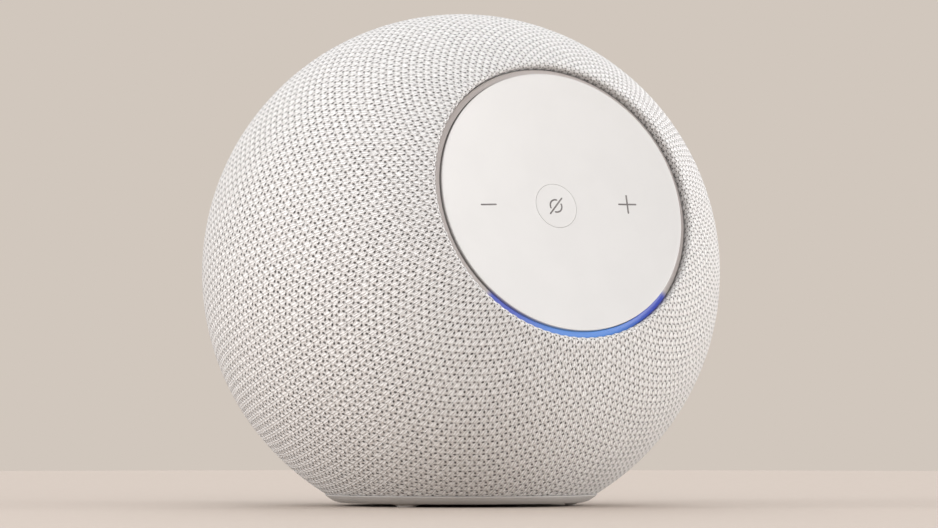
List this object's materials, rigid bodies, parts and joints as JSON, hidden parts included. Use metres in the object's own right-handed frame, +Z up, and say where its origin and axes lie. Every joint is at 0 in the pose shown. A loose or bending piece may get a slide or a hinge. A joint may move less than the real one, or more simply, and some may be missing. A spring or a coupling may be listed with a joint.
{
  "type": "smart speaker",
  "caption": "Ball-shaped smart speaker in a knitted fabric sleeve, with a tilted round control panel, a light ring, a base ring with feet and a rear power port.",
  "frame": {"origin": "on the table under the ball, at the centre of the footprint's bounding box", "axes": "+Z up, the control panel faces -Y and leans back 19.75 degrees, +X is to the right of someone facing the panel from the front"},
  "size_m": [0.156, 0.1535, 0.148],
  "materials": {
    "fabric": "knitted two-tone yarn, matt",
    "white_plastic": "satin moulded",
    "shell": "moulded",
    "enclosure": "moulded",
    "black_plastic": "moulded",
    "gasket": "soft",
    "surround": "soft",
    "foot_rubber": "matt",
    "touch_pad": "conductive foam",
    "diffuser": "translucent, satin",
    "circuit_board": "solder mask",
    "cable_black": "flat lead",
    "cable_white": "flat flexible cable",
    "pressed_steel": "zinc plated",
    "screw": "zinc plated",
    "aluminium": "extruded",
    "cone": "polypropylene",
    "spider": "impregnated cloth"
  },
  "bodies": {
    "speaker": {"fabric_sleeve": "fabric", "grille_shell_front": "shell", "grille_shell_rear": "shell", "enclosure_body": "enclosure", "enclosure_woofer_cap": "enclosure", "enclosure_gasket": "gasket", "base_ring": "white_plastic", "base_plate": "white_plastic", "foot_pad_rear": "foot_rubber", "foot_pad_left": "foot_rubber", "foot_pad_right": "foot_rubber", "base_screw_1": "screw", "base_screw_2": "screw", "base_screw_3": "screw", "port_bezel": "white_plastic", "dc_jack": "black_plastic", "dc_jack_pin": "screw", "power_lead": "cable_black", "panel_bracket": "shell", "control_disc": "white_plastic", "mute_switch_body": "black_plastic", "minus_touch_pad": "touch_pad", "plus_touch_pad": "touch_pad", "light_ring": "diffuser", "led_ring_board": "circuit_board", "control_board": "circuit_board", "panel_screw_1": "screw", "panel_screw_2": "screw", "panel_screw_3": "screw", "panel_ribbon_cable": "cable_white", "woofer_basket": "pressed_steel", "woofer_magnet": "pressed_steel", "woofer_surround": "surround", "woofer_spider": "spider", "woofer_screw_1": "screw", "woofer_screw_2": "screw", "woofer_screw_3": "screw", "woofer_screw_4": "screw", "left_driver_frame": "black_plastic", "left_driver_magnet": "pressed_steel", "left_driver_surround": "surround", "right_driver_frame": "black_plastic", "right_driver_magnet": "pressed_steel", "right_driver_surround": "surround", "front_driver_frame": "black_plastic", "front_driver_magnet": "pressed_steel", "front_driver_surround": "surround", "main_board": "circuit_board", "processor_shield": "pressed_steel", "amplifier_chip": "black_plastic", "heat_spreader": "aluminium", "antenna_board_left": "circuit_board", "antenna_board_right": "circuit_board"},
    "mute_button": {"mute_button": "white_plastic", "mute_switch_plunger": "gasket"},
    "woofer_cone": {"woofer_cone": "cone"},
    "left_driver_cone": {"left_driver_cone": "cone"},
    "right_driver_cone": {"right_driver_cone": "cone"},
    "front_driver_cone": {"front_driver_cone": "cone"}
  },
  "joints": [
    {"name": "mute_button_press", "type": "slide", "parent": "speaker", "child": "mute_button", "axis": [0, 0.9412, -0.3379], "range_m": [0, 0.0005], "stiffness_N_per_m": 3000},
    {"name": "woofer_cone_travel", "type": "slide", "parent": "speaker", "child": "woofer_cone", "axis": [0, 0.6691, 0.7431], "range_m": [-0.004, 0.004], "stiffness_N_per_m": 1500, "deforming": ["woofer_surround", "woofer_spider"]},
    {"name": "left_driver_cone_travel", "type": "slide", "parent": "speaker", "child": "left_driver_cone", "axis": [-0.9889, 0, -0.1483], "range_m": [-0.0015, 0.0015], "stiffness_N_per_m": 1200, "deforming": ["left_driver_surround"]},
    {"name": "right_driver_cone_travel", "type": "slide", "parent": "speaker", "child": "right_driver_cone", "axis": [0.9889, 0, -0.1483], "range_m": [-0.0015, 0.0015], "stiffness_N_per_m": 1200, "deforming": ["right_driver_surround"]},
    {"name": "front_driver_cone_travel", "type": "slide", "parent": "speaker", "child": "front_driver_cone", "axis": [0, -0.7771, -0.6293], "range_m": [-0.0015, 0.0015], "stiffness_N_per_m": 1200, "deforming": ["front_driver_surround"]}
  ]
}
